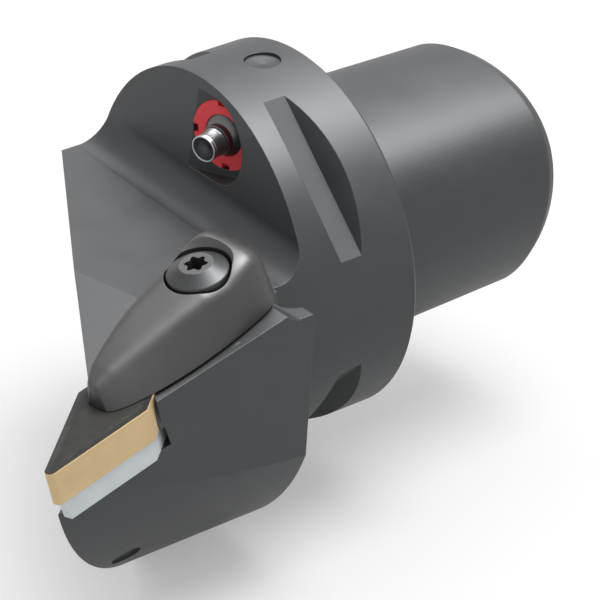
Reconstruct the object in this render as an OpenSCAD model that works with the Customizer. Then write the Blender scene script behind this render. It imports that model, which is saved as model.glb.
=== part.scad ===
// Turning tool holder: a polygon taper shank, a flange with gripper slots and an offset
// head that carries a rhombic insert under a top clamp, with an adjustable coolant nozzle.
// The origin is on the shank's axis in the gauge plane, where the flange meets the machine.
// +X runs along the axis to the cutting end, +Y to the side of the insert's nose, +Z up.

/* [Shank] */
// Mean diameter of the polygon taper at the gauge plane
shank_d = 35; // [33:0.5:37]
// How far the three lobes stand off the mean circle
shank_lobe = 1.12; // [0.9:0.02:1.3]
// Length of the taper behind the gauge plane
shank_length = 30; // [29:0.5:34]
// Loss of diameter for each millimetre of taper
shank_taper = 0.05; // [0.03:0.01:0.06]
// Length of the lead-in chamfer at the shank's rear end
shank_chamfer = 1.3; // [0.8:0.1:2]
// Diameter of the clamping bore
shank_bore_d = 21; // [19:0.5:22]
// Depth of the clamping bore
shank_bore_depth = 21; // [20:0.5:22]
// Diameter of the clamping groove inside the bore
groove_d = 24; // [23:0.25:25]
// Distance from the shank's rear end to the clamping groove
groove_offset = 6; // [5:0.25:7]
// Width of the clamping groove's floor
groove_w = 5; // [4:0.25:6]
// Minor diameter of the drawbolt thread
thread_d = 14.5; // [12:0.5:16]
// Length of the drawbolt thread
thread_length = 13; // [11:0.5:14]

/* [Flange] */
// Outer diameter of the flange
flange_d = 50; // [49:0.5:52]
// Distance from the gauge plane to the flange's front face, on the axis
flange_w = 16.3; // [15.5:0.1:17]
// Lean of the front face to the rear, going up
face_lean = 3.4; // [2:0.2:5]
// Turn of the front face away from the nose side
face_turn = 2.9; // [1:0.2:4]
// Radius of the cove between the front face and the flat below it
cove_r = 4; // [3:0.25:5]
// Chamfer on the flange's rear rim
rim_chamfer = 0.5; // [0.2:0.1:0.8]
// Distance from the gauge plane to the middle of the gripper slots
slot_x = 9.7; // [9:0.1:10.4]
// Width of a gripper slot's floor
slot_floor_w = 3.2; // [2.6:0.1:3.8]
// Depth of a gripper slot at its middle
slot_depth = 2.7; // [2.2:0.1:3.2]
// Half of the angle between a gripper slot's flanks
slot_flank = 30; // [25:1:35]
// Turn of the first gripper slot from +Y
slot_turn = 42; // [40:0.5:44]

/* [Head] */
// Distance from the gauge plane to the insert's nose
tool_length = 62.5; // [61.5:0.25:64]
// Distance from the shank's axis to the insert's nose
tool_offset = 35; // [34.5:0.25:36]
// Radius of the head's underside about the shank's axis
head_r = 33; // [32:0.25:33.5]
// Distance from the gauge plane to the head's rear face
head_start = 21.9; // [21:0.1:23]
// Height of the upper flat over the shank's axis
flat_z = 7.5; // [7:0.1:8]
// Fall of the upper flat towards the nose side
flat_tilt = 2.3; // [1:0.1:3]
// How far the deck beside the insert lies under the insert's top
deck_drop = 0.95; // [0.8:0.05:1.3]
// Length of the deck behind the insert's centre
deck_run = 27; // [26:0.25:28]
// Extra fall of the deck along the axis
deck_fall = 2.4; // [1:0.1:3.5]
// Extra fall of the deck towards the nose side
deck_roll = 1.8; // [0.5:0.1:3]
// How far the land under the clamp lies under the insert's top
land_drop = 0.35; // [0.3:0.05:0.5]
// Length of the nose wall from the nose to its inner corner
neck_run = 14.8; // [14:0.2:16]
// Direction of the left wall from the axis
left_wall_turn = 58.6; // [57:0.2:60]
// Lean of the left wall under the head
left_wall_lean = 6.7; // [5:0.1:8]
// How far the side face lies behind the insert's main flank
side_step = 1.1; // [0.9:0.05:1.5]
// Distance from the gauge plane to the recess behind the clamp's tail
recess_x = 21.4; // [21:0.1:21.6]
// Distance of that recess from the axis, to the nose side
recess_y = 27.6; // [27.5:0.1:28]
// Diameter of that recess
recess_d = 5.2; // [4.4:0.1:5.2]
// Depth of that recess under the upper flat
recess_depth = 4.5; // [3.5:0.1:5]
// Distance from the gauge plane to the hollow at the clamp pad's rear end
hollow_x = 23.2; // [22.8:0.1:23.4]
// Distance from the gauge plane to the shallow dimple in the head's underside
dimple_x = 46; // [40:0.5:48]
// Diameter of that dimple
dimple_d = 4; // [3:0.1:5]
// Depth of that dimple
dimple_depth = 0.5; // [0.3:0.05:0.8]
// Lean of the side face, going down
side_lean = 8.5; // [7:0.1:10]
// How far the nose wall lies behind the insert's flank
nose_step = 0.25; // [0.15:0.05:0.5]

/* [Insert and shim] */
// Diameter of the circle inscribed in the insert
insert_ic = 9.525; // [9.4:0.025:9.6]
// Thickness of the insert
insert_t = 4.76; // [4.5:0.02:5]
// Radius of the insert's nose
nose_r = 0.8; // [0.4:0.1:1.2]
// Angle of the insert's nose
nose_angle = 35; // [34:0.5:36]
// Diameter of the insert's hole
insert_hole_d = 3.81; // [3.6:0.05:4.2]
// Thickness of the shim
shim_t = 3.18; // [3:0.02:3.4]
// How far the shim's flanks lie inside the insert's
shim_inset = 0.45; // [0.3:0.05:0.6]
// Angle of the main edge past square to the axis
approach = 3; // [2:0.25:4]
// Fall of the insert along the axis
seat_fall = 12.55; // [11:0.25:14]
// Fall of the insert towards the nose side
seat_roll = -3.3; // [-4.5:0.1:-2.5]
// Diameter of the shim screw's head
shim_head_d = 4.6; // [4:0.1:5]
// Diameter of the shim screw
shim_screw_d = 3; // [2.5:0.1:3.5]
// Length of the shim screw under its head
shim_screw_l = 7; // [6:0.25:9]

/* [Clamp] */
// Distance from the insert's rear end to the clamp screw, along the insert
clamp_gap = 3.85; // [3.6:0.05:4.4]
// Sideways distance of the clamp screw from that line
clamp_side = -2.4; // [-3:0.1:-2]
// Distance from the insert's centre to the clamp's tip, along the insert
tip_past = 1.7; // [1.3:0.1:2]
// Sideways distance of the clamp's tip from the insert's centre
tip_side = 1; // [0.6:0.1:1.2]
// Distance from the clamp screw to the clamp's tail
clamp_tail = 8.3; // [8:0.1:8.8]
// Greatest width of the clamp
clamp_w = 12.4; // [11.8:0.1:13]
// Height of the clamp at its screw
clamp_h = 7.3; // [6.9:0.1:7.8]
// How much higher the clamp's back stands behind its screw
back_rise = 1; // [0.5:0.1:1.3]
// Fall of the clamp's back towards the nose side
back_fall = 1; // [0.5:0.1:1.3]
// Width of the clamp at its tip
tip_w = 3; // [2.6:0.1:3.6]
// Height of the clamp at its tip
tip_h = 2.7; // [2.2:0.1:3]
// Lift of the clamp when its screw is loosened
clamp_lift = 2.5; // [1.5:0.1:3]
// Diameter of the clamp screw's thread
screw_d = 5; // [4.5:0.1:5.4]
// Length of the clamp screw under its head
screw_l = 17; // [15:0.5:19]
// Diameter of the clamp screw's head
head_d = 7.4; // [7:0.1:7.8]
// Height of the clamp screw's head
head_h = 3.8; // [3.4:0.1:4.2]
// Diameter of the flat on top of the clamp screw's head
head_flat_d = 4.3; // [4:0.05:4.8]
// Height of the dome around that flat
dome_h = 0.8; // [0.6:0.05:1.1]
// Size across the points of the six-lobed recess
lobe_recess_d = 3; // [2.6:0.1:3.3]
// Outer diameter of the clamp spring
spring_d = 7.4; // [7.2:0.1:7.8]
// Diameter of the spring's wire
spring_wire = 0.8; // [0.6:0.05:0.9]
// Turns of the clamp spring
spring_turns = 4; // [3:0.5:5]
// Diameter of the guide pin
pin_d = 1.8; // [1.5:0.1:2]
// Depth of the guide pin in the holder
pin_sunk = 7; // [6:0.25:8]
// How far the guide pin stands out of the holder
pin_out = 1.2; // [1:0.1:1.4]

/* [Coolant nozzle] */
// Distance from the gauge plane to the nozzle's ring
nozzle_x = 13.8; // [13.4:0.1:14.2]
// Distance of the nozzle's ring from the axis, to the nose side
nozzle_y = 3.55; // [3.2:0.05:4]
// Depth of the nozzle's ring under the top of the flange
nozzle_sunk = 7.35; // [7.2:0.05:7.7]
// Turn of the nozzle's seat to the nose side
nozzle_turn = 16.8; // [15:0.2:18]
// Rise of the nozzle's seat
nozzle_rise = -1; // [-2:0.2:0]
// Angle by which the nozzle is aimed down at the insert
nozzle_aim = 2; // [0:0.5:6]
// Width of the pocket around the nozzle
pocket_w = 11.4; // [11:0.05:11.8]
// Outer diameter of the threaded ring
ring_d = 9.6; // [9.4:0.05:9.8]
// Thickness of the threaded ring
ring_t = 2.4; // [2.2:0.05:2.8]
// Radius of the nozzle's ball
ball_r = 3.4; // [3.3:0.05:3.5]
// Depth of the ball's centre behind the ring's face
ball_depth = 1.95; // [1.85:0.05:2.1]
// Outer diameter of the nozzle tube
tube_d = 3.6; // [3.2:0.05:3.9]
// Wall of the nozzle tube
tube_wall = 0.4; // [0.3:0.02:0.5]
// Distance from the ball's centre to the tube's mouth
tube_reach = 6.2; // [5.8:0.1:6.8]
// Diameter of the nozzle's seal wire
seal_wire = 1; // [0.8:0.05:1.1]
// Width of a spanner notch in the ring
notch_w = 1.2; // [1:0.05:1.4]

/* [Channels] */
// Diameter of the coolant drillings
channel_d = 3.4; // [3:0.1:3.6]
// Distance from the gauge plane to the cross drilling
cross_x = 5.7; // [5.5:0.05:5.9]
// Turn of the cross drilling from +Y
cross_turn = 87; // [86:0.5:88]
// Diameter of the plug in the cross drilling
plug_d = 4.8; // [4.6:0.1:5]
// Length of the plug
plug_l = 4; // [3.5:0.1:4.5]
// Depth of the plug under the flange's surface
plug_sunk = 0.4; // [0.2:0.05:0.6]

/* [Fits] */
// Clearance of a running fit, on the radius
run_fit = 0.05; // [0.03:0.01:0.08]
// Gap between faces that rest on each other
rest_gap = 0.02; // [0.01:0.01:0.04]

/* [Hidden] */
$fn = 96;

dark_steel = "#46474a";
clamp_steel = "#4c4b49";
bright_steel = "#9a9c9f";
red_coat = "#c8433f";
gold_coat = "#c4aa7c";
shim_grey = "#b9bdc4";
seal_black = "#1c1c1e";
brass_tone = "#8d8d90";

big = 90;
flange_r = flange_d / 2;
half_nose = nose_angle / 2;

// Seat frame: its origin is the centre of the nose radius in the insert's top plane
nose_centre = [tool_length - nose_r, tool_offset - nose_r, 0];
main_turn = 180 + approach;
seat_turn = main_turn + half_nose;
// Distances along the insert from the nose radius to the sharp corner and the centre
tip_run = nose_r / sin(half_nose);
insert_centre = insert_ic / 2 / sin(half_nose) - tip_run;
insert_half_l = insert_ic / 2 / sin(half_nose);
insert_half_w = insert_ic / 2 / cos(half_nose);
floor_h = -insert_t - shim_t;

// Clamp frame: its origin is on the clamp screw, -X points at the tip
clamp_run = 2 * insert_centre + nose_r + clamp_gap;
tip_run_b = insert_centre - tip_past;
clamp_turn = atan2(clamp_side - tip_side, clamp_run - tip_run_b);
clamp_reach = norm([clamp_run - tip_run_b, clamp_side - tip_side]);
head_base = clamp_h + 0.7 - head_h;
ring_seat = head_base - 2;
spring_top = 1.2;
spring_bottom = -5.4;
spring_pocket_d = spring_d + 0.8;
pin_p = 5.3;
keeper_d = 6.4;
clamp_nose_d = 2.6;
clamp_foot_d = 2.6;

// Nozzle frame: its origin is the middle of the ring's face, +Z points out of the seat
nozzle_at = [nozzle_x, nozzle_y, flange_r - nozzle_sunk];
nozzle_channel_l = (nozzle_x - cross_x) / (cos(nozzle_rise) * cos(nozzle_turn)) + channel_d / 2;
ball_s = -ball_depth;
seat_bore_d = ring_d - 0.8;
cup_depth = 3;
seal_angle = 128;
seal_run = ball_r + seal_wire / 2 + rest_gap;

module about_axis(turn) {
    rotate([turn - 90, 0, 0]) children();
}

module along_axis(from) {
    translate([from, 0, 0]) rotate([0, 90, 0]) children();
}

module at_seat() {
    translate(nose_centre) rotate([seat_roll, seat_fall, 0]) children();
}

module along_insert() {
    at_seat() rotate([0, 0, seat_turn]) children();
}

module at_clamp() {
    along_insert() translate([clamp_run, clamp_side, 0]) rotate([0, 0, clamp_turn]) children();
}

module at_nozzle() {
    translate(nozzle_at) rotate([0, 90 - nozzle_rise, nozzle_turn]) children();
}

module at_ball() {
    at_nozzle() translate([0, 0, ball_s]) rotate([0, nozzle_aim, 0]) children();
}

module at_cross() {
    translate([cross_x, 0, 0]) about_axis(cross_turn) children();
}

// Cylinder between two heights of its own frame
module rod(d, low, high) {
    translate([0, 0, low]) cylinder(d = d, h = high - low);
}

module torus(ring_r, wire_r) {
    rotate_extrude() translate([ring_r, 0]) circle(r = wire_r, $fn = 32);
}

// Three-lobed section of the shank
function lobe_point(d, a) = [
    d / 2 * cos(a) - shank_lobe * cos(2 * a),
    d / 2 * sin(a) + shank_lobe * sin(2 * a)
];

module shank_section(d) {
    rotate(30) polygon([for (i = [0:119]) lobe_point(d, i * 3)]);
}

module shank() {
    body_l = shank_length - shank_chamfer;
    rear_scale = 1 - shank_taper * body_l / shank_d;
    rear_d = shank_d * rear_scale;
    chamfer_scale = 1 - shank_chamfer * 1.2 / rear_d;
    // The section's +Z is the machine side, so the extrusions run to -X
    rotate([0, -90, 0]) mirror([1, 0, 0]) rotate(-90) {
        linear_extrude(height = body_l, scale = rear_scale) shank_section(shank_d);
        translate([0, 0, body_l]) linear_extrude(height = shank_chamfer, scale = chamfer_scale)
            scale(rear_scale) shank_section(shank_d);
    }
}

module shank_bore() {
    step = (groove_d - shank_bore_d) / 2;
    bore_end = shank_bore_depth - shank_length;
    groove_at = groove_offset - shank_length;
    lead = 1;
    along_axis(-shank_length - 1) cylinder(d = shank_bore_d, h = shank_bore_depth + 1);
    along_axis(-shank_length - 0.01) cylinder(d1 = shank_bore_d + 2 * lead, d2 = shank_bore_d, h = lead);
    along_axis(groove_at) cylinder(d1 = shank_bore_d, d2 = groove_d, h = step);
    along_axis(groove_at + step) cylinder(d = groove_d, h = groove_w);
    along_axis(groove_at + step + groove_w) cylinder(d1 = groove_d, d2 = shank_bore_d, h = step);
    along_axis(bore_end - 1) cylinder(d = thread_d, h = thread_length + 1);
    along_axis(bore_end + thread_length - 0.5)
        cylinder(d = channel_d + 2, h = cross_x + channel_d - bore_end - thread_length);
}

// The flange and the round core of the head, with the wider head on the nose side
module blank() {
    head_l = tool_length - head_start;
    along_axis(0) cylinder(d1 = flange_d - 2 * rim_chamfer, d2 = flange_d, h = rim_chamfer);
    along_axis(rim_chamfer) cylinder(d = flange_d, h = tool_length - rim_chamfer);
    intersection() {
        along_axis(head_start) cylinder(r = head_r, h = head_l);
        // Under the axis the wide part ends in a flat that is tangent to the flange
        about_axis(30) translate([head_start, -big, -flange_r]) cube([head_l, 2 * big, big]);
        translate([head_start, -flange_r * cos(30), -big]) cube([head_l, big, 2 * big]);
    }
}

// Everything over the upper flat and before the flange's front face, with the cove
module face_cutter() {
    cove_x = cove_r / cos(face_lean) - cove_r * tan(face_lean);
    touch_x = cove_x - cove_r * cos(face_lean);
    touch_z = cove_r - cove_r * sin(face_lean);
    top = 40;
    // The cove bites a little into both faces, so that it crosses them
    cove_bite = 0.03;
    translate([flange_w - flat_z * tan(face_lean), 0, flat_z])
        rotate([-flat_tilt, 0, -face_turn]) rotate([90, 0, 0])
            translate([0, 0, -big / 2]) linear_extrude(height = big) {
                polygon([[cove_x, 0], [big, 0], [big, top], [-top * tan(face_lean), top], [touch_x, touch_z]]);
                translate([cove_x, cove_r]) circle(r = cove_r + cove_bite);
            }
}

// Everything over the deck beside the insert
module deck_cutter() {
    at_deck() rotate([seat_roll - deck_roll, seat_fall + deck_fall, 0])
        translate([-deck_run, -big / 2, 0]) cube([big, big, big / 2]);
}

// Point of the deck under the insert's centre
module at_deck() {
    n_z = cos(seat_roll) * cos(seat_fall);
    n_x = cos(seat_roll) * sin(seat_fall);
    n_y = -sin(seat_roll);
    run_x = insert_centre * cos(seat_turn);
    run_y = insert_centre * sin(seat_turn);
    translate([
        nose_centre[0] + run_x,
        nose_centre[1] + run_y,
        -(n_x * run_x + n_y * run_y) / n_z - deck_drop
    ]) children();
}

// Everything outside the left wall and the nose wall
module wall_cutter() {
    run = approach + nose_angle;
    wall = nose_r - nose_step;
    corner = [
        nose_centre[0] - neck_run * cos(run) + wall * sin(run),
        nose_centre[1] - neck_run * sin(run) - wall * cos(run)
    ];
    intersection() {
        translate([corner[0], corner[1], 0]) rotate([0, 0, run])
            translate([-big, -big, -big]) cube([2 * big, big, 2 * big]);
        translate([corner[0], corner[1], flat_z]) rotate([0, 0, left_wall_turn]) rotate([left_wall_lean, 0, 0])
            translate([-big, -big, -big]) cube([2 * big, big, 2 * big]);
    }
}

// Everything outside the side face
module side_cutter() {
    translate(nose_centre) rotate([0, 0, approach]) translate([0, nose_r - side_step, 0])
        rotate([-side_lean, 0, 0]) translate([-big, 0, -big]) cube([2 * big, big, 2 * big]);
}

// Plan of the insert, along +X from the centre of its nose radius
module insert_plan(inset = 0) {
    r = max(nose_r - inset, 0.3);
    shift = (nose_r - r - inset) / sin(half_nose);
    far = 2 * insert_centre;
    half_w = insert_half_w - inset / cos(half_nose);
    sweep = 90 - half_nose;
    polygon(concat(
        [for (i = [-6:6]) let (a = 180 + sweep * i / 6) [-shift + r * cos(a), r * sin(a)]],
        [[insert_centre, -half_w]],
        [for (i = [-6:6]) let (a = sweep * i / 6) [far + shift + r * cos(a), r * sin(a)]],
        [[insert_centre, half_w]]
    ));
}

// Space in front of the two walls that the insert rests against
module seat_cutter() {
    back = insert_centre + insert_half_l + rest_gap / sin(half_nose);
    undercut = 0.5;
    front = -20;
    relief = 1;
    module wedge(grow, low, high) {
        tip = back + grow / sin(half_nose);
        half = (tip - front) * tan(half_nose);
        translate([0, 0, low]) linear_extrude(height = high - low)
            polygon([[tip, 0], [front, half], [front, -half]]);
    }
    along_insert() {
        wedge(0, -insert_t - 0.3, big / 8);
        wedge(undercut, floor_h, -insert_t);
        translate([back - relief, 0, 0]) rod(2 * relief, floor_h, big / 8);
    }
}

// Pad under the clamp's rear half, level with the deck
module clamp_land() {
    deep = 14;
    // The hollow bites a little into the flat, so that it crosses it
    hollow_bite = 0.03;
    difference() {
        intersection() {
            at_clamp() translate([0, 0, -deep]) linear_extrude(height = deep - land_drop) polygon([
                [-clamp_reach, -clamp_w],
                [clamp_tail - 1.8, -clamp_w],
                [clamp_tail - 0.6, clamp_w * 0.2],
                [clamp_tail * 0.45, clamp_w * 0.38],
                [-clamp_reach * 0.45, clamp_w * 0.36]
            ]);
            along_axis(head_start) cylinder(r = tool_offset + 1, h = big);
        }
        translate([hollow_x, 0, flat_z]) rotate([-flat_tilt, 0, 0])
            translate([0, 0, cove_r]) rotate([-90, 0, 0]) cylinder(r = cove_r + hollow_bite, h = big);
    }
}

module coolant_channels() {
    at_cross() {
        rod(channel_d, 0, flange_r + 1);
        rod(plug_d, flange_r - plug_sunk - plug_l, flange_r + 1);
    }
    at_nozzle() rod(channel_d, -nozzle_channel_l, 0);
}

module nozzle_pocket() {
    out = 12;
    at_nozzle() {
        cylinder(d = pocket_w, h = out);
        translate([-pocket_w / 2, -big / 3, 0]) cube([pocket_w, big / 3, out]);
        rod(ring_d + 2 * rest_gap, -ring_t - rest_gap, 0.01);
        rod(seat_bore_d + 2 * rest_gap, -ring_t - cup_depth, 0.01);
    }
}

module gripper_slots() {
    floor_r = flange_r - slot_depth;
    out = slot_depth + 2;
    spread = out * tan(slot_flank);
    half = slot_floor_w / 2;
    for (i = [0:3]) about_axis(slot_turn + 90 * i)
        rotate([90, 0, 0]) translate([slot_x, floor_r, -flange_r]) linear_extrude(height = flange_d)
            polygon([[-half, 0], [half, 0], [half + spread, out], [-half - spread, out]]);
}

// Recess behind the clamp's tail, and dimple in the head's underside
module head_recesses() {
    translate([recess_x, recess_y, flat_z - recess_depth]) cylinder(d = recess_d, h = big);
    translate([dimple_x, 0, 0]) about_axis(-slot_turn) rod(dimple_d, head_r - dimple_depth, head_r + 1);
}

module clamp_seat_holes() {
    at_clamp() {
        rod(screw_d + 2 * run_fit, head_base - screw_l - 1, 0);
        rod(spring_pocket_d, spring_bottom, 2);
        translate([pin_p, 0, 0]) rod(pin_d, -pin_sunk, 2);
    }
    along_insert() translate([insert_centre, 0, 0]) rod(shim_screw_d, floor_h - shim_screw_l - 0.5, floor_h + 1);
}

module holder_body() {
    color(dark_steel) difference() {
        union() {
            shank();
            difference() {
                blank();
                face_cutter();
                deck_cutter();
            }
            clamp_land();
        }
        wall_cutter();
        side_cutter();
        seat_cutter();
        gripper_slots();
        shank_bore();
        coolant_channels();
        nozzle_pocket();
        clamp_seat_holes();
        head_recesses();
    }
}

module cutting_insert() {
    color(gold_coat) along_insert() difference() {
        translate([0, 0, -insert_t]) linear_extrude(height = insert_t) insert_plan();
        translate([insert_centre, 0, 0]) rod(insert_hole_d, -insert_t - 1, 1);
    }
}

module shim() {
    top = -insert_t - rest_gap;
    color(shim_grey) along_insert() difference() {
        translate([0, 0, floor_h + rest_gap]) linear_extrude(height = top - floor_h - rest_gap)
            difference() {
                insert_plan(shim_inset);
                translate([-big / 2 + 0.1, -big / 4]) square([big / 2, big / 2]);
            }
        // Sloping face under the insert's nose
        translate([0.1, 0, top]) rotate([0, -10, 0]) translate([-big / 2, -big / 4, -6]) cube([big / 2, big / 2, 6]);
        translate([insert_centre, 0, 0]) {
            rod(shim_screw_d + 0.4, floor_h - 1, top + 1);
            translate([0, 0, top - 1.2]) cylinder(d1 = shim_screw_d + 0.4, d2 = shim_head_d + 0.2, h = 0.9);
            rod(shim_head_d + 0.2, top - 0.3, top + 1);
        }
    }
}

module six_lobes(d, h) {
    translate([0, 0, -h]) linear_extrude(height = h + 0.01) {
        circle(d = d * 0.72);
        for (i = [0:5]) rotate(60 * i) translate([d * 0.37, 0]) circle(d = d * 0.26, $fn = 32);
    }
}

module shim_screw() {
    top = -insert_t - rest_gap;
    seat = top - 1.2;
    color(bright_steel) along_insert() translate([insert_centre, 0, 0]) difference() {
        union() {
            rod(shim_screw_d - 2 * rest_gap, floor_h - shim_screw_l, top - 0.5);
            translate([0, 0, seat + 0.05]) cylinder(d1 = shim_screw_d, d2 = shim_head_d - 0.1, h = 0.85);
            rod(shim_head_d - 0.1, seat + 0.9, top);
        }
        translate([0, 0, top]) six_lobes(2.4, 1);
    }
}

// Half of the clamp's width, and the height of its back, at a distance from the screw
function clamp_share(p) = min(1 + p / clamp_reach, 1);
function clamp_half_w(p) = p < 0
    ? tip_w / 2 + (clamp_w - tip_w) / 2 * pow(sin(90 * clamp_share(p)), 0.58)
    : clamp_w / 2 * pow(1 - pow(p / (clamp_tail + 0.2), 4), 0.45);
function clamp_top(p) = p < 0
    ? tip_h + (clamp_h - tip_h) * pow(clamp_share(p), 0.78)
    : clamp_h + back_rise * sin(90 * min(p / 4, 1)) - 2.8 * pow(max(p - 4.5, 0) / (clamp_tail - 4.5), 2);

// Arc-like corner between two edges of a section
function soft_corner(before, corner, after) = [for (i = [0:5]) let (k = i / 5, bite = 0.27)
    corner + bite * (pow(1 - k, 2) * (before - corner) + pow(k, 2) * (after - corner))];

// Section of the clamp: a flat base, two flanks and a back between two rounded ridges
function clamp_ring(p) = let (
    w = clamp_half_w(p),
    top = clamp_top(p),
    fall = back_fall * sin(90 * min(max(p + 3, 0) / 6, 1)),
    right_foot = [p, -w, 0],
    right_ridge = [p, -0.78 * w * clamp_share(p), top - fall],
    left_ridge = [p, min(0.82 * w, 0.37 * clamp_w), top],
    left_foot = [p, min(0.93 * w, 0.43 * clamp_w), 0]
) concat(
    [left_foot],
    soft_corner(left_foot, left_ridge, right_ridge),
    soft_corner(left_ridge, right_ridge, right_foot),
    [right_foot]
);

module clamp_skin() {
    steps = 30;
    rings = [for (i = [0:steps]) clamp_ring(-clamp_reach + (clamp_reach + clamp_tail) * i / steps)];
    count = len(rings[0]);
    points = [for (ring = rings) each ring];
    quads = [for (i = [0:steps - 1]) for (j = [0:count - 1]) let (k = (j + 1) % count)
        [i * count + j, (i + 1) * count + j, (i + 1) * count + k, i * count + k]];
    first = [for (j = [0:count - 1]) j];
    last = [for (j = [count - 1:-1:0]) steps * count + j];
    polyhedron(points, concat(quads, [first], [last]), convexity = 4);
}

module clamp() {
    color(clamp_steel) difference() {
        at_clamp() {
            translate([0, 0, rest_gap]) clamp_skin();
            // Foot that carries the clamp's rear half down to the land
            translate([clamp_tail * 0.58, -clamp_w * 0.2, 0]) rod(clamp_foot_d, rest_gap - land_drop, 2);
        }
        at_clamp() {
            rod(screw_d + 0.6, -2, clamp_h + 1);
            rod(head_d + 1.1, head_base, clamp_h + 3);
            rod(keeper_d + 0.4, -2, ring_seat);
            rod(spring_pocket_d, -2, spring_top);
            translate([pin_p, 0, 0]) rod(pin_d + 0.3, -2, pin_out + 0.6);
        }
    }
    color(clamp_steel) along_insert() translate([insert_centre + 0.4, 0, 0]) rod(clamp_nose_d, -1, 0.6);
}

module clamp_screw() {
    rim = head_h - dome_h;
    rim_r = head_d / 2;
    flat_r = head_flat_d / 2;
    color(bright_steel) at_clamp() difference() {
        union() {
            rod(screw_d, head_base - screw_l, head_base + 0.2);
            rotate_extrude() polygon(concat(
                [[0, head_base + rest_gap], [rim_r, head_base + rest_gap], [rim_r, head_base + rim]],
                [for (i = [1:12]) let (a = 90 * i / 12)
                    [flat_r + (rim_r - flat_r) * cos(a), head_base + rim + (head_h - rim) * sin(a)]],
                [[0, head_base + head_h]]
            ));
        }
        // Groove for the retaining ring
        translate([0, 0, ring_seat - 1]) rotate_extrude() translate([2.1, 0]) square([1, 0.7]);
        translate([0, 0, head_base + head_h]) six_lobes(lobe_recess_d, 1.8);
    }
}

module clamp_retaining_ring() {
    color(bright_steel) at_clamp() translate([0, 0, ring_seat - 0.95]) difference() {
        cylinder(d = keeper_d, h = 0.6);
        translate([0, 0, -1]) cylinder(r = 2.1 + run_fit, h = 3);
        translate([0, -1.5, -1]) cube([5, 3, 3]);
    }
}

// Coil of the spring, as rings of points along a helix
module clamp_spring() {
    coil_r = (spring_d - spring_wire) / 2;
    sides = 8;
    steps = ceil(spring_turns * 24);
    low = spring_bottom + spring_wire / 2 + rest_gap;
    high = spring_top - spring_wire / 2 - rest_gap;
    rings = [for (i = [0:steps]) let (a = 360 * spring_turns * i / steps, h = low + (high - low) * i / steps)
        [for (j = [0:sides - 1]) let (b = 360 * j / sides, r = coil_r + spring_wire / 2 * cos(b))
            [r * cos(a), r * sin(a), h + spring_wire / 2 * sin(b)]]];
    points = [for (ring = rings) each ring];
    quads = [for (i = [0:steps - 1]) for (j = [0:sides - 1]) let (k = (j + 1) % sides)
        [i * sides + j, i * sides + k, (i + 1) * sides + k, (i + 1) * sides + j]];
    first = [for (j = [sides - 1:-1:0]) j];
    last = [for (j = [0:sides - 1]) steps * sides + j];
    color(bright_steel) at_clamp() polyhedron(points, concat(quads, [first], [last]), convexity = 8);
}

module clamp_guide_pin() {
    color(bright_steel) at_clamp() translate([pin_p, 0, 0]) rod(pin_d, -pin_sunk, pin_out);
}

module nozzle_retaining_ring() {
    color(red_coat) at_nozzle() difference() {
        rod(ring_d, -ring_t, 0);
        translate([0, 0, ball_s]) sphere(r = ball_r + run_fit);
        rod(2 * (ball_r + run_fit) - 0.02, -ring_t - 1, ball_s);
        for (i = [0:3]) rotate(90 * i)
            translate([ring_d / 2 - 0.8, -notch_w / 2, -0.8]) cube([2, notch_w, 2]);
    }
}

module nozzle_ball() {
    color(bright_steel) at_ball() difference() {
        union() {
            sphere(r = ball_r);
            rod(tube_d + 0.5, 0, ball_r + 0.15);
        }
        rod(tube_d - 2 * tube_wall, -ball_r - 1, ball_r + 1);
        rod(tube_d, 1.2, ball_r + 1);
    }
}

module nozzle_tube() {
    color(bright_steel) at_ball() difference() {
        rod(tube_d - 2 * rest_gap, 1.2 + rest_gap, tube_reach);
        rod(tube_d - 2 * tube_wall, 0, tube_reach + 1);
    }
}

module nozzle_seat_ring() {
    color(bright_steel) at_nozzle() difference() {
        rod(seat_bore_d, -ring_t - cup_depth + rest_gap, -ring_t - rest_gap);
        rod(channel_d, -ring_t - cup_depth - 1, 0);
        translate([0, 0, ball_s]) {
            sphere(r = ball_r + run_fit);
            translate([0, 0, seal_run * cos(seal_angle)])
                torus(seal_run * sin(seal_angle), seal_wire / 2 + run_fit);
        }
    }
}

module nozzle_o_ring() {
    color(seal_black) at_nozzle() translate([0, 0, ball_s + seal_run * cos(seal_angle)])
        torus(seal_run * sin(seal_angle), seal_wire / 2);
}

module channel_plug_sleeve() {
    high = flange_r - plug_sunk;
    color(brass_tone) at_cross() difference() {
        rod(plug_d, high - plug_l, high);
        rod(plug_d * 0.7, high - plug_l + 0.8, high + 1);
    }
}

module channel_plug_ball() {
    ball_d = plug_d * 0.7 - 2 * rest_gap;
    color(bright_steel) at_cross()
        translate([0, 0, flange_r - plug_sunk - plug_l + 0.8 + ball_d / 2 + rest_gap]) sphere(d = ball_d);
}

holder_body();
cutting_insert();
shim();
shim_screw();
clamp();
clamp_screw();
clamp_retaining_ring();
clamp_spring();
clamp_guide_pin();
nozzle_retaining_ring();
nozzle_ball();
nozzle_tube();
nozzle_seat_ring();
nozzle_o_ring();
channel_plug_sleeve();
channel_plug_ball();
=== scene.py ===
"""Looks, light and camera for the turning tool holder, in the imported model's frame."""

import math

import bmesh
import bpy
from mathutils import Matrix, Vector


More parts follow.
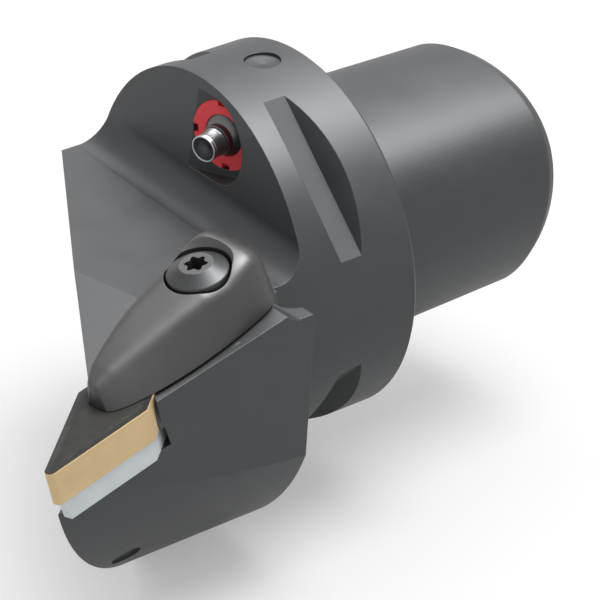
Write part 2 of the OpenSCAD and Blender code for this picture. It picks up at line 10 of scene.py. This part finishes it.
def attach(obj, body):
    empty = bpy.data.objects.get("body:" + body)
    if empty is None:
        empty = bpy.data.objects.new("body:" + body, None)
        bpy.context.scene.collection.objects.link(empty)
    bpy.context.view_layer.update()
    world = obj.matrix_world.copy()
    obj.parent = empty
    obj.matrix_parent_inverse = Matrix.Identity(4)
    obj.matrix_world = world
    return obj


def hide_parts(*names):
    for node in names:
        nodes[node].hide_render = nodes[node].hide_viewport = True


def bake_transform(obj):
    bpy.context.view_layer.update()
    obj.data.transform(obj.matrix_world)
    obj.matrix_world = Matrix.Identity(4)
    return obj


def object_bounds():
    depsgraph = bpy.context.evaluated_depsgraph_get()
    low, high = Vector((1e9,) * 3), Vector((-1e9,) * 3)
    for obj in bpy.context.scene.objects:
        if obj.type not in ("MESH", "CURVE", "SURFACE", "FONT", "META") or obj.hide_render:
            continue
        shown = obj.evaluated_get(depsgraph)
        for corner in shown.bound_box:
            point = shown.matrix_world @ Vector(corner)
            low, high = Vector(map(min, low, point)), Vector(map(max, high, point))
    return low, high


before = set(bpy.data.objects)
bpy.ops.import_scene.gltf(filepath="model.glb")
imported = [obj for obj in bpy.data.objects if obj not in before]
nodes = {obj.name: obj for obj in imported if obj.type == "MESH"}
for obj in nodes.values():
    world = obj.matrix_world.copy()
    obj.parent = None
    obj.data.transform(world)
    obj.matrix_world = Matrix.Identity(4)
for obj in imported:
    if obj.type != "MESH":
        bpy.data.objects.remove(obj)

cad_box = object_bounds()
MM = 0.001

# Driving dimensions in millimetres and degrees, as in the CAD source

TOOL_LENGTH = 62.5
TOOL_OFFSET = 35.0
NOSE_R = 0.8
NOSE_ANGLE = 35.0
INSERT_IC = 9.525
INSERT_T = 4.76
INSERT_HOLE_D = 3.81
APPROACH = 3.0
SEAT_FALL = 12.55
SEAT_ROLL = -3.3
CLAMP_GAP = 3.85
CLAMP_SIDE = -2.4
TIP_PAST = 1.7
TIP_SIDE = 1.0
CLAMP_TAIL = 8.3
CLAMP_W = 12.4
CLAMP_H = 7.3
BACK_RISE = 1.0
BACK_FALL = 1.0
LAND_DROP = 0.35
TIP_W = 3.0
TIP_H = 2.7
CLAMP_FOOT_R = 1.3
CLAMP_NOSE_R = 1.3
KEEPER_ROOM_R = 3.4
SCREW_D = 5.0
HEAD_D = 7.4
HEAD_H = 3.8
HEAD_UP = 0.7
HEAD_FLAT_D = 4.3
SCREW_L = 17.0
SPRING_D = 7.4
SPRING_WIRE = 0.8
SPRING_TURNS = 4
SPRING_TOP = 1.2
SPRING_FOOT = -5.4
PIN_D = 1.8
PIN_OUT = 1.2
PIN_PLACE = 5.3
NOZZLE_AT = (13.8, 3.55, 17.65)
NOZZLE_TURN = 16.8
NOZZLE_RISE = -1.0
NOZZLE_AIM = 2.0
BALL_R = 3.4
BALL_DEPTH = 1.95
TUBE_D = 3.6
TUBE_WALL = 0.4
TUBE_REACH = 6.2
TUBE_FOOT = 1.2
FLANGE_R = 25.0
CROSS_X = 5.7
CROSS_TURN = 87.0
PLUG_D = 4.8
PLUG_L = 4.0
PLUG_SUNK = 0.4
REST_GAP = 0.02

# Values of this script alone, in millimetres: profiles stay AXIS_R off their axis

AXIS_R = 0.01
ROUND_SIDES = 96
HEAD_ROOM = 0.55
SHANK_BLEND = 0.2


def turn(axis, degrees):
    return Matrix.Rotation(math.radians(degrees), 4, axis)


def move(x, y, z):
    return Matrix.Translation((x, y, z))


# Local frames of the insert, the clamp, the nozzle and the plug, in millimetres

half_nose = math.radians(NOSE_ANGLE / 2)
insert_centre = (INSERT_IC / 2 - NOSE_R) / math.sin(half_nose)
insert_half_w = INSERT_IC / 2 / math.cos(half_nose)
AT_SEAT = (
    Matrix.Scale(MM, 4)
    @ move(TOOL_LENGTH - NOSE_R, TOOL_OFFSET - NOSE_R, 0)
    @ turn("Y", SEAT_FALL)
    @ turn("X", SEAT_ROLL)
)
ALONG_INSERT = AT_SEAT @ turn("Z", 180 + APPROACH + NOSE_ANGLE / 2)
clamp_run = 2 * insert_centre + NOSE_R + CLAMP_GAP
tip_run = insert_centre - TIP_PAST
clamp_turn = math.degrees(math.atan2(CLAMP_SIDE - TIP_SIDE, clamp_run - tip_run))
clamp_reach = math.hypot(clamp_run - tip_run, CLAMP_SIDE - TIP_SIDE)
AT_CLAMP = ALONG_INSERT @ move(clamp_run, CLAMP_SIDE, 0) @ turn("Z", clamp_turn)
head_base = CLAMP_H + HEAD_UP - HEAD_H
counterbore_r = HEAD_D / 2 + HEAD_ROOM
AT_BALL = (
    Matrix.Scale(MM, 4)
    @ move(*NOZZLE_AT)
    @ turn("Z", NOZZLE_TURN)
    @ turn("Y", 90 - NOZZLE_RISE)
    @ move(0, 0, -BALL_DEPTH)
    @ turn("Y", NOZZLE_AIM)
)
AT_CROSS = Matrix.Scale(MM, 4) @ move(CROSS_X, 0, 0) @ turn("X", CROSS_TURN - 90)


# Camera at the photograph's viewing angle

CAMERA_AT = Vector((258.2, 356.4, 212.0)) * MM
CAMERA_RIGHT = Vector((-0.7987, 0.6006, -0.0364))
CAMERA_AWAY = Vector((-0.5225, -0.7223, -0.4531))
LENS_MM = 223.5
SENSOR_MM = 36.0


def add_camera():
    away = CAMERA_AWAY.normalized()
    right = (CAMERA_RIGHT - away * CAMERA_RIGHT.dot(away)).normalized()
    up = right.cross(away)
    camera = bpy.data.objects.new("camera", bpy.data.cameras.new("camera"))
    camera.matrix_world = Matrix((
        (right.x, up.x, -away.x, CAMERA_AT.x),
        (right.y, up.y, -away.y, CAMERA_AT.y),
        (right.z, up.z, -away.z, CAMERA_AT.z),
        (0, 0, 0, 1),
    ))
    camera.data.lens = LENS_MM
    camera.data.sensor_width = SENSOR_MM
    camera.data.clip_start = 0.01
    camera.data.clip_end = 10
    bpy.context.scene.collection.objects.link(camera)
    bpy.context.scene.camera = camera


# Materials

class Graph:
    """Short names for making and joining shader nodes."""

    def __init__(self, name):
        self.material = bpy.data.materials.new(name)
        self.material.use_nodes = True
        self.tree = self.material.node_tree
        self.shader = self.tree.nodes["Principled BSDF"]
        self.object_space = self.add("ShaderNodeTexCoord").outputs["Object"]

    def add(self, kind, **settings):
        node = self.tree.nodes.new(kind)
        for key, value in settings.items():
            setattr(node, key, value)
        return node

    def join(self, source, target):
        self.tree.links.new(source, target)

    def noise(self, scale, detail, stretch=None):
        node = self.add("ShaderNodeTexNoise")
        node.inputs["Scale"].default_value = scale
        node.inputs["Detail"].default_value = detail
        source = self.object_space
        if stretch:
            mapping = self.add("ShaderNodeMapping")
            mapping.inputs["Scale"].default_value = stretch
            self.join(source, mapping.inputs["Vector"])
            source = mapping.outputs["Vector"]
        self.join(source, node.inputs["Vector"])
        return node.outputs["Fac"]

    def spread(self, source, low, high, source_low=0.3, source_high=0.7):
        """source between two limits, as a value from low to high."""
        node = self.add("ShaderNodeMapRange")
        node.inputs["From Min"].default_value = source_low
        node.inputs["From Max"].default_value = source_high
        node.inputs["To Min"].default_value = low
        node.inputs["To Max"].default_value = high
        self.join(source, node.inputs["Value"])
        return node.outputs["Result"]

    def blend(self, share, first, second, mode="MIX"):
        node = self.add("ShaderNodeMix", data_type="RGBA", blend_type=mode)
        self.fill(node.inputs[0], share)
        self.fill(node.inputs[6], first)
        self.fill(node.inputs[7], second)
        return node.outputs[2]

    def fill(self, socket, value):
        if isinstance(value, bpy.types.NodeSocket):
            self.join(value, socket)
        else:
            socket.default_value = value

    def edges(self, radius, shank_radius=0):
        """The normal with softened edges, and a value that is 1 along them."""
        soft = self.add("ShaderNodeBevel", samples=6)
        soft.inputs["Radius"].default_value = radius
        if shank_radius:
            # The shank lies at negative X, and the wider radius hides its flat faces
            place = self.add("ShaderNodeSeparateXYZ")
            self.join(self.object_space, place.inputs[0])
            wider = self.spread(place.outputs["X"], shank_radius, radius, -SHANK_BLEND * MM, 0)
            self.join(wider, soft.inputs["Radius"])
        plain = self.add("ShaderNodeNewGeometry").outputs["Normal"]
        dot = self.add("ShaderNodeVectorMath", operation="DOT_PRODUCT")
        self.join(soft.outputs["Normal"], dot.inputs[0])
        self.join(plain, dot.inputs[1])
        sharp = 0.75
        flat = 0.995
        wear_and_highlight = self.spread(dot.outputs["Value"], 1, 0, sharp, flat)
        return soft.outputs["Normal"], wear_and_highlight

    def bump(self, height, strength, distance, normal):
        node = self.add("ShaderNodeBump")
        node.inputs["Strength"].default_value = strength
        node.inputs["Distance"].default_value = distance
        self.join(height, node.inputs["Height"])
        self.join(normal, node.inputs["Normal"])
        return node.outputs["Normal"]

    def finish(self, colour, roughness, normal, metallic):
        self.fill(self.shader.inputs["Base Color"], colour)
        self.fill(self.shader.inputs["Roughness"], roughness)
        self.shader.inputs["Metallic"].default_value = metallic
        self.join(normal, self.shader.inputs["Normal"])
        return self.material


def grey(level, tint=0.0):
    """A grey of that linear level, with a little more blue for a positive tint."""
    return (level * (1 - tint), level, level * (1 + tint), 1)


def steel(name, level, roughness, tint=0.03, wear_and_highlight_level=0.12, metallic=0.5, shank_radius=0):
    """Steel with a fine grain, faint stains, softened edges, and a lighter tone along them that is partly
    wear and partly a painted edge highlight.
    """
    edge_radius = 0.15
    stain_scale = 180
    patch_scale = 1400
    grain_scale = 9000
    grain_strength = 0.12
    grain_height = 0.02
    g = Graph(name)
    normal, wear_and_highlight = g.edges(edge_radius * MM, shank_radius * MM)
    stains = g.noise(stain_scale, 4)
    colour = g.blend(g.spread(stains, 0, 1), grey(level * 0.93, tint), grey(level * 1.07, tint))
    patches = g.noise(patch_scale, 3)
    # Lighter colour along the edges in random patches: partly wear, partly a painted highlight on the edges
    wear_and_highlight_share = g.blend(1.0, g.spread(patches, 0.15, 0.6), wear_and_highlight, "MULTIPLY")
    colour = g.blend(wear_and_highlight_share, colour, grey(wear_and_highlight_level))
    grain = g.noise(grain_scale, 2)
    rough = g.spread(stains, roughness * 0.95, roughness * 1.06)
    return g.finish(colour, rough, g.bump(grain, grain_strength, grain_height * MM, normal), metallic)


def coated(name, dark, light, roughness, metallic=0.2, specular=0.5):
    """A smooth coating: faint clouds of colour, fine lines along the faces and a softened edge."""
    edge_radius = 0.06
    line_scale = 900
    cloud_scale = 350
    line_strength = 0.05
    line_height = 0.01
    g = Graph(name)
    g.shader.inputs["Specular IOR Level"].default_value = specular
    normal = g.edges(edge_radius * MM)[0]
    lines = g.noise(line_scale, 3, (1, 1, 6))
    cloud = g.noise(cloud_scale, 2)
    colour = g.blend(g.spread(cloud, 0, 1), dark, light)
    rough = g.spread(lines, roughness * 0.9, roughness * 1.1)
    return g.finish(colour, rough, g.bump(lines, line_strength, line_height * MM, normal), metallic)


def dress(node_name, material):
    piece = nodes[node_name]
    piece.data.materials.clear()
    piece.data.materials.append(material)
    for polygon in piece.data.polygons:
        polygon.material_index = 0


# Pieces that are made here with more detail than their CAD nodes

def build(name, vertices, faces, place, material):
    """A mesh object from points in millimetres in a local frame."""
    mesh = bpy.data.meshes.new(name)
    mesh.from_pydata([place @ Vector(point) for point in vertices], [], faces)
    mesh.materials.append(material)
    piece = bpy.data.objects.new(name, mesh)
    bpy.context.scene.collection.objects.link(piece)
    repair(mesh)
    return piece


def repair(mesh):
    """Joins doubled points and turns every face outwards."""
    work = bmesh.new()
    work.from_mesh(mesh)
    bmesh.ops.remove_doubles(work, verts=work.verts, dist=1e-7)
    bmesh.ops.recalc_face_normals(work, faces=work.faces)
    work.to_mesh(mesh)
    work.free()


def smooth(piece, degrees=32):
    for polygon in piece.data.polygons:
        polygon.use_smooth = True
    piece.data.set_sharp_from_angle(angle=math.radians(degrees))


def ring_faces(rings, sides):
    """Quads between neighbouring rings of the same number of points."""
    return [
        (i * sides + j, i * sides + (j + 1) % sides, (i + 1) * sides + (j + 1) % sides, (i + 1) * sides + j)
        for i in range(rings - 1) for j in range(sides)
    ]


def revolve(name, profile, place, material):
    """A solid of revolution about local Z. The last (radius, height) pair joins the first."""
    sides = ROUND_SIDES
    points = [
        (radius * math.cos(2 * math.pi * j / sides), radius * math.sin(2 * math.pi * j / sides), height)
        for radius, height in profile for j in range(sides)
    ]
    faces = ring_faces(len(profile), sides)
    top = (len(profile) - 1) * sides
    faces += [(top + j, top + (j + 1) % sides, (j + 1) % sides, j) for j in range(sides)]
    return build(name, points, faces, place, material)


def cylinder(radius, low, high, place, across=(0, 0), lobe=0.0):
    """A tool to add or cut with: a cylinder, or a six-lobed bar whose lobes stand out by lobe."""
    points = []
    sides = ROUND_SIDES
    for height in (low, high):
        for j in range(sides):
            angle = 2 * math.pi * j / sides
            reach = radius + lobe * math.cos(6 * angle)
            points.append((across[0] + reach * math.cos(angle), across[1] + reach * math.sin(angle), height))
    faces = ring_faces(2, sides) + [tuple(range(sides)), tuple(range(2 * sides - 1, sides - 1, -1))]
    return build("tool", points, faces, place, bpy.data.materials["clamp_steel"])


def combine(piece, tool, operation):
    """Adds a tool's shape to the piece or cuts it away, and drops the tool."""
    change = piece.modifiers.new("change", "BOOLEAN")
    change.operation = operation
    change.solver = "EXACT"
    change.object = tool
    apply_modifiers(piece)
    bpy.data.objects.remove(tool)


def apply_modifiers(piece):
    bpy.context.view_layer.update()
    shown = piece.evaluated_get(bpy.context.evaluated_depsgraph_get())
    mesh = bpy.data.meshes.new_from_object(shown)
    piece.modifiers.clear()
    piece.data = mesh


def soften(piece, width, degrees=35, segments=3):
    """Rounds the piece's edges that are sharper than an angle."""
    bevel = piece.modifiers.new("soft edges", "BEVEL")
    bevel.width = width * MM
    bevel.segments = segments
    bevel.limit_method = "ANGLE"
    bevel.angle_limit = math.radians(degrees)
    apply_modifiers(piece)


def clamp_half_w(p):
    """Half width of the clamp at p, measured from its screw towards the tail."""
    tip_curve = 0.58
    tail_curve = 0.45
    if p < 0:
        share = 1 + p / clamp_reach
        return TIP_W / 2 + (CLAMP_W - TIP_W) / 2 * math.sin(math.pi / 2 * max(share, 0)) ** tip_curve
    return CLAMP_W / 2 * (1 - (p / (CLAMP_TAIL + 0.2)) ** 4) ** tail_curve


def clamp_top(p):
    """Height of the clamp's left ridge at p."""
    back_curve = 0.78
    rise_run = 4
    tail_fall = 2.8
    fall_start = 4.5
    if p < 0:
        return TIP_H + (CLAMP_H - TIP_H) * max(1 + p / clamp_reach, 0) ** back_curve
    rise = BACK_RISE * math.sin(math.pi / 2 * min(p / rise_run, 1))
    return CLAMP_H + rise - tail_fall * (max(p - fall_start, 0) / (CLAMP_TAIL - fall_start)) ** 2


def clamp_ring(p):
    """Section of the clamp: a flat base, two flanks and a back between two rounded ridges."""
    corner_bite = 0.27
    corner_steps = 12
    fall_start = -3
    fall_run = 6
    w = clamp_half_w(p)
    share = min(1 + p / clamp_reach, 1)
    top = clamp_top(p)
    fall = BACK_FALL * math.sin(math.pi / 2 * min(max(p - fall_start, 0) / fall_run, 1))
    left_foot = min(0.93 * w, 0.43 * CLAMP_W)
    left_ridge = min(0.82 * w, 0.37 * CLAMP_W)
    right_ridge = -0.78 * w * share
    corners = [
        Vector((p, left_foot, 0)),
        Vector((p, left_ridge, top)),
        Vector((p, right_ridge, top - fall)),
        Vector((p, -w, 0)),
    ]
    ring = [corners[0]]
    for before, corner, after in zip(corners, corners[1:], corners[2:]):
        for i in range(corner_steps + 1):
            k = i / corner_steps
            pull = (1 - k) ** 2 * (before - corner) + k ** 2 * (after - corner)
            ring.append(corner + corner_bite * pull)
    ring.append(corners[3])
    return ring


def add_clamp(material):
    steps = 96
    crowding = 1.5
    span = clamp_reach + CLAMP_TAIL
    rings = []
    for i in range(steps + 1):
        share = i / steps
        # More rings towards the rounded tail
        rings.append(clamp_ring(-clamp_reach + span * (1 - (1 - share) ** crowding)))
    sides = len(rings[0])
    # The front face leans back over the insert
    tip_lean = 0.2
    lean_run = 3
    points = []
    for point in (point for ring in rings for point in ring):
        lean = tip_lean * point.z * max(1 - (point.x + clamp_reach) / lean_run, 0)
        points.append(point + Vector((lean, 0, REST_GAP)))
    faces = ring_faces(len(rings), sides)
    faces += [tuple(range(sides)), tuple(range(len(points) - 1, len(points) - sides - 1, -1))]
    piece = build("clamp_body", points, faces, AT_CLAMP, material)
    soften(piece, 0.22)
    foot_at = (CLAMP_TAIL * 0.58, -CLAMP_W * 0.2)
    foot = cylinder(CLAMP_FOOT_R, REST_GAP - LAND_DROP, 2, AT_CLAMP, foot_at)
    combine(piece, foot, "UNION")
    below = -2
    ring_seat = head_base - 2
    cuts = [
        (SCREW_D / 2 + 0.3, below, CLAMP_H + 1, (0, 0)),
        (counterbore_r, head_base, CLAMP_H + 3, (0, 0)),
        (KEEPER_ROOM_R, below, ring_seat, (0, 0)),
        (SPRING_D / 2 + 0.4, below, SPRING_TOP, (0, 0)),
        (PIN_D / 2 + 0.15, below, PIN_OUT + 0.6, (PIN_PLACE, 0)),
    ]
    for radius, low, high, across in cuts:
        combine(piece, cylinder(radius, low, high, AT_CLAMP, across), "DIFFERENCE")
    # The back around the screw tapers down to the counterbore
    low = CLAMP_H - 0.1
    high = low + 2
    flare = 2.2
    cone = [(AXIS_R, low), (counterbore_r, low), (counterbore_r + flare, high), (AXIS_R, high)]
    combine(piece, revolve("taper", cone, AT_CLAMP, material), "DIFFERENCE")
    # The nose reaches into the insert's hole
    nose_at = (insert_centre + 0.4, 0)
    combine(piece, cylinder(CLAMP_NOSE_R, -1, 0.6, ALONG_INSERT, nose_at), "UNION")
    smooth(piece)
    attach(piece, "clamp")
    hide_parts("clamp")


def add_clamp_screw(material):
    """Screw with a tapered head, a flat on top with six lobes sunk in it, and a groove for its ring."""
    top = head_base + HEAD_H
    rim_r = HEAD_D / 2 + 0.2
    rim_low = top - 1.25
    rim_high = top - 1.1
    flat_r = HEAD_FLAT_D / 2
    corner = 0.07
    shaft_r = SCREW_D / 2
    foot = head_base - SCREW_L
    foot_chamfer = 0.4
    groove_r = 2.1
    groove = head_base - 3
    groove_top = groove + 0.7
    head_foot = head_base + REST_GAP
    profile = [
        (AXIS_R, foot), (shaft_r - foot_chamfer, foot), (shaft_r, foot + foot_chamfer), (shaft_r, groove),
        (groove_r, groove), (groove_r, groove_top), (shaft_r, groove_top), (shaft_r, head_foot),
        (rim_r, head_foot), (rim_r, rim_low), (rim_r - corner, rim_high),
        (flat_r + corner, top - 0.06), (flat_r, top), (AXIS_R, top),
    ]
    piece = revolve("clamp_screw_body", profile, AT_CLAMP, material)
    lobe_r = 1.27
    lobe_out = 0.22
    lobe_depth = 1.8
    tool = cylinder(lobe_r, top - lobe_depth, top + 1, AT_CLAMP, lobe=lobe_out)
    combine(piece, tool, "DIFFERENCE")
    smooth(piece, 25)
    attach(piece, "clamp_screw")
    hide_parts("clamp_screw")


def insert_outline(inset):
    """Plan of the insert, along +X from the centre of its nose radius, drawn in by inset."""
    least_r = 0.15
    radius = NOSE_R - inset
    shift = 0.0
    if radius < least_r:
        radius = least_r
        shift = (inset - NOSE_R + least_r) / math.sin(half_nose)
    half_w = insert_half_w - inset / math.cos(half_nose)
    sweep = math.pi / 2 - half_nose
    points = []
    fan = 10
    for centre, facing in ((shift, math.pi), (2 * insert_centre - shift, 0.0)):
        for i in range(-fan, fan + 1):
            angle = facing + sweep * i / fan
            points.append((centre + radius * math.cos(angle), radius * math.sin(angle)))
        points.append((insert_centre, half_w if facing == 0.0 else -half_w))
    return points


def add_insert(flank, rake):
    """Insert with a chamfered edge, a narrow land, a chip groove and a hole, the same on both faces."""
    half_t = INSERT_T / 2
    # Inset from the outline, and distance from the face, going in from the flank
    chamfer = ((0, 0.10), (0.05, 0.03), (0.10, 0.0))
    land_and_groove = ((0.28, 0.01), (0.55, 0.07), (0.85, 0.09), (1.15, 0.05), (1.3, 0.04))
    steps = chamfer + land_and_groove
    rings = [(inset, half_t - down) for inset, down in steps]
    points = []
    for side in (1, -1):
        for inset, height in rings:
            points += [(x, y, side * height - half_t) for x, y in insert_outline(inset)]
    sides = len(insert_outline(0))
    count = len(rings)
    faces = []
    for side in (0, 1):
        start = side * count * sides
        faces += [tuple(start + index for index in face) for face in ring_faces(count, sides)]
    faces += [(j, (j + 1) % sides, count * sides + (j + 1) % sides, count * sides + j) for j in range(sides)]
    inner = (count - 1) * sides
    faces.append(tuple(inner + j for j in range(sides)))
    faces.append(tuple(2 * count * sides - 1 - j for j in range(sides)))
    piece = build("insert", points, faces, ALONG_INSERT, flank)
    radius = INSERT_HOLE_D / 2
    combine(piece, cylinder(radius, -INSERT_T - 1, 1, ALONG_INSERT, (insert_centre, 0)), "DIFFERENCE")
    piece.data.materials.clear()
    piece.data.materials.append(flank)
    piece.data.materials.append(rake)
    facing_up = 0.8
    normal = (ALONG_INSERT.to_3x3() @ Vector((0, 0, 1))).normalized()
    for polygon in piece.data.polygons:
        polygon.material_index = 1 if abs(polygon.normal.dot(normal)) > facing_up else 0
    smooth(piece, 25)
    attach(piece, "holder")
    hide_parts("cutting_insert")


def add_spring(material):
    """Coil between the holder's pocket and the clamp."""
    coil_r = (SPRING_D - SPRING_WIRE) / 2
    wire_r = SPRING_WIRE / 2
    low = SPRING_FOOT + wire_r + REST_GAP
    high = SPRING_TOP - wire_r - REST_GAP
    steps_per_turn = 40
    steps = SPRING_TURNS * steps_per_turn
    sides = 14
    points = []
    for i in range(steps + 1):
        angle = 2 * math.pi * SPRING_TURNS * i / steps
        height = low + (high - low) * i / steps
        for j in range(sides):
            around = 2 * math.pi * j / sides
            radius = coil_r + wire_r * math.cos(around)
            level = height + wire_r * math.sin(around)
            points.append((radius * math.cos(angle), radius * math.sin(angle), level))
    faces = ring_faces(steps + 1, sides)
    faces += [tuple(range(sides)), tuple(range(len(points) - 1, len(points) - sides - 1, -1))]
    piece = build("spring_coil", points, faces, AT_CLAMP, material)
    smooth(piece, 60)
    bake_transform(piece)
    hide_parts("clamp_spring")


def add_nozzle_tube(material):
    """Thin tube with a rolled rim at its mouth and a seam where it leaves the ball."""
    outer = TUBE_D / 2 - REST_GAP
    bore = TUBE_D / 2 - TUBE_WALL
    mouth_bore = outer - 0.2
    foot = TUBE_FOOT + REST_GAP
    mouth = TUBE_REACH
    seam = BALL_R + 0.32
    seam_half = 0.12
    seam_out = 0.06
    seam_steps = 6
    waist = outer - 0.04
    rim = outer + 0.03
    profile = [(bore, foot), (outer, foot), (outer, seam - seam_half)]
    for i in range(1, seam_steps + 1):
        bulge = seam_out * math.sin(math.pi * i / seam_steps)
        profile.append((outer + bulge, seam - seam_half + 2 * seam_half * i / seam_steps))
    profile += [(outer, mouth - 0.5), (waist, mouth - 0.46), (waist, mouth - 0.36)]
    profile += [(rim, mouth - 0.3), (rim, mouth - 0.04), (outer, mouth)]
    profile += [(mouth_bore + 0.03, mouth), (mouth_bore, mouth - 0.03), (mouth_bore, mouth - 1.4)]
    profile += [(bore, mouth - 1.7)]
    piece = revolve("nozzle_pipe", profile, AT_BALL, material)
    smooth(piece, 40)
    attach(piece, "nozzle")
    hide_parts("nozzle_tube")


def add_plug(material):
    """Plug of the cross drilling: a sleeve whose dished face closes over its ball."""
    face = FLANGE_R - PLUG_SUNK
    foot = face - PLUG_L
    outer = PLUG_D / 2
    inner = outer * 0.7
    edge = 0.12
    dish = 0.24
    floor = foot + 0.8
    under_dish = face - dish - 0.02
    profile = [(AXIS_R, foot), (outer, foot), (outer, face - edge)]
    for angle in (0.5, 1.05, 1.57):
        profile.append((outer - edge + edge * math.cos(angle), face - edge + edge * math.sin(angle)))
    dish_steps = 10
    for i in range(1, dish_steps + 1):
        share = i / dish_steps
        radius = (outer - 2 * edge) * (1 - share) + AXIS_R
        profile.append((radius, face - dish * math.sin(math.pi / 2 * share)))
    profile += [(AXIS_R, under_dish), (inner - 0.3, under_dish)]
    profile += [(inner, face - 0.6), (inner, floor), (AXIS_R, floor)]
    piece = revolve("plug_sleeve", profile, AT_CROSS, material)
    smooth(piece, 40)
    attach(piece, "holder")
    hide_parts("channel_plug_sleeve")
    # The ball is pressed in, so its outer end is flattened under the dish
    ball_r = inner - REST_GAP
    middle = floor + ball_r + REST_GAP
    cut = math.acos((face - dish - 0.1 - middle) / ball_r)
    ball_steps = 24
    profile = [(AXIS_R, middle + ball_r * math.cos(cut))]
    for i in range(ball_steps + 1):
        angle = cut + (math.pi - cut) * i / ball_steps
        profile.append((ball_r * math.sin(angle) + AXIS_R, middle + ball_r * math.cos(angle)))
    ball = revolve("plug_ball", profile, AT_CROSS, material)
    smooth(ball, 40)
    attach(ball, "holder")
    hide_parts("channel_plug_ball")


def dress_nodes():
    body = steel("blackened_steel", 0.06, 0.5, tint=0.045, metallic=0.6, shank_radius=0.7)
    bright = steel("bright_steel", 0.26, 0.35, wear_and_highlight_level=0.4, metallic=0.9)
    ball = steel("ball_steel", 0.14, 0.38, wear_and_highlight_level=0.2, metallic=0.9)
    pipe = steel("pipe_steel", 0.45, 0.3, wear_and_highlight_level=0.6, metallic=0.95)
    screw = steel("screw_steel", 0.05, 0.42)
    clamp = steel("clamp_steel", 0.07, 0.45, tint=0.0, metallic=0.6)
    gold = coated("insert_coating", (0.66, 0.48, 0.25, 1), (0.73, 0.53, 0.28, 1), 0.5)
    rake = coated("rake_coating", (0.030, 0.029, 0.026, 1), (0.040, 0.039, 0.035, 1), 0.6, specular=0.12)
    dress("holder_body", body)
    shim = coated("shim_carbide", (0.61, 0.66, 0.67, 1), (0.68, 0.73, 0.74, 1), 0.5)
    dress("shim", shim)
    # The ring's red is written lighter than its own colour: painted light that makes up for the shade in its
    # pocket
    red = coated("red_coat", (0.94, 0.065, 0.08, 1), (0.98, 0.075, 0.09, 1), 0.6, metallic=0.0)
    dress("nozzle_retaining_ring", red)
    seal = coated("seal_rubber", (0.01, 0.01, 0.01, 1), (0.02, 0.02, 0.02, 1), 0.6)
    dress("nozzle_o_ring", seal)
    for name in ("shim_screw", "clamp_retaining_ring", "clamp_guide_pin", "nozzle_seat_ring"):
        dress(name, bright)
    dress("nozzle_ball", ball)
    add_clamp(clamp)
    add_clamp_screw(screw)
    add_insert(gold, rake)
    add_spring(bright)
    add_nozzle_tube(pipe)
    add_plug(body)


# Floor, light and backdrop

def add_stage():
    low, high = cad_box
    centre = (low + high) / 2
    size = 6.0
    gap = 0.0002
    mesh = bpy.data.meshes.new("floor")
    corners = [(-size, -size), (size, -size), (size, size), (-size, size)]
    mesh.from_pydata([(centre.x + x, centre.y + y, low.z - gap) for x, y in corners], [], [(0, 1, 2, 3)])
    floor = bpy.data.objects.new("floor", mesh)
    bpy.context.scene.collection.objects.link(floor)
    g = Graph("floor")
    seen = seen_share(g.tree)
    g.join(g.blend(seen, grey(0.6), grey(0.75)), g.shader.inputs["Base Color"])
    g.shader.inputs["Emission Color"].default_value = grey(1)
    g.join(g.spread(seen, 0, 0.3, 0, 1), g.shader.inputs["Emission Strength"])
    g.shader.inputs["Roughness"].default_value = 0.9
    floor.data.materials.append(g.material)


def seen_share(tree):
    """1 for what the camera, steel and glass see of a surface, 0 for the light it gives to the object."""
    rays = tree.nodes.new("ShaderNodeLightPath")
    seen = rays.outputs["Is Camera Ray"]
    for name in ("Is Glossy Ray", "Is Transmission Ray"):
        either = tree.nodes.new("ShaderNodeMath")
        either.operation = "MAXIMUM"
        tree.links.new(seen, either.inputs[0])
        tree.links.new(rays.outputs[name], either.inputs[1])
        seen = either.outputs[0]
    return seen


def add_world():
    world = bpy.data.worlds.new("studio")
    world.use_nodes = True
    tree = world.node_tree
    background = tree.nodes["Background"]
    background.inputs["Color"].default_value = (1, 1, 1, 1)
    strength = tree.nodes.new("ShaderNodeMapRange")
    strength.inputs["To Min"].default_value = 0.55
    strength.inputs["To Max"].default_value = 1.0
    tree.links.new(seen_share(tree), strength.inputs["Value"])
    tree.links.new(strength.outputs["Result"], background.inputs["Strength"])
    bpy.context.scene.world = world


def add_lamp(name, direction, size, power, gloss_only=False):
    distance = 0.9
    target = Vector((0.02, 0.01, 0.0))
    lamp = bpy.data.lights.new(name, "AREA")
    lamp.shape = "DISK"
    lamp.size = size
    lamp.energy = power
    holder = bpy.data.objects.new(name, lamp)
    place = Vector(direction).normalized()
    holder.location = target + place * distance
    holder.rotation_mode = "QUATERNION"
    holder.rotation_quaternion = (-place).to_track_quat("-Z", "Y")
    holder.visible_diffuse = not gloss_only
    bpy.context.scene.collection.objects.link(holder)


def add_lamps():
    add_lamp("key", (-0.1, 0.25, 0.95), 0.6, 4)
    # Two softboxes that only show in the steel: one along the round surfaces, one on the deck
    add_lamp("softbox_round", (-0.36, 0.12, 0.924), 0.45, 14, gloss_only=True)
    add_lamp("softbox_deck", (-0.2, -0.4, 0.894), 0.45, 4.8, gloss_only=True)


add_camera()
dress_nodes()
add_stage()
add_world()
add_lamps()
bpy.context.scene.view_settings.view_transform = "Standard"
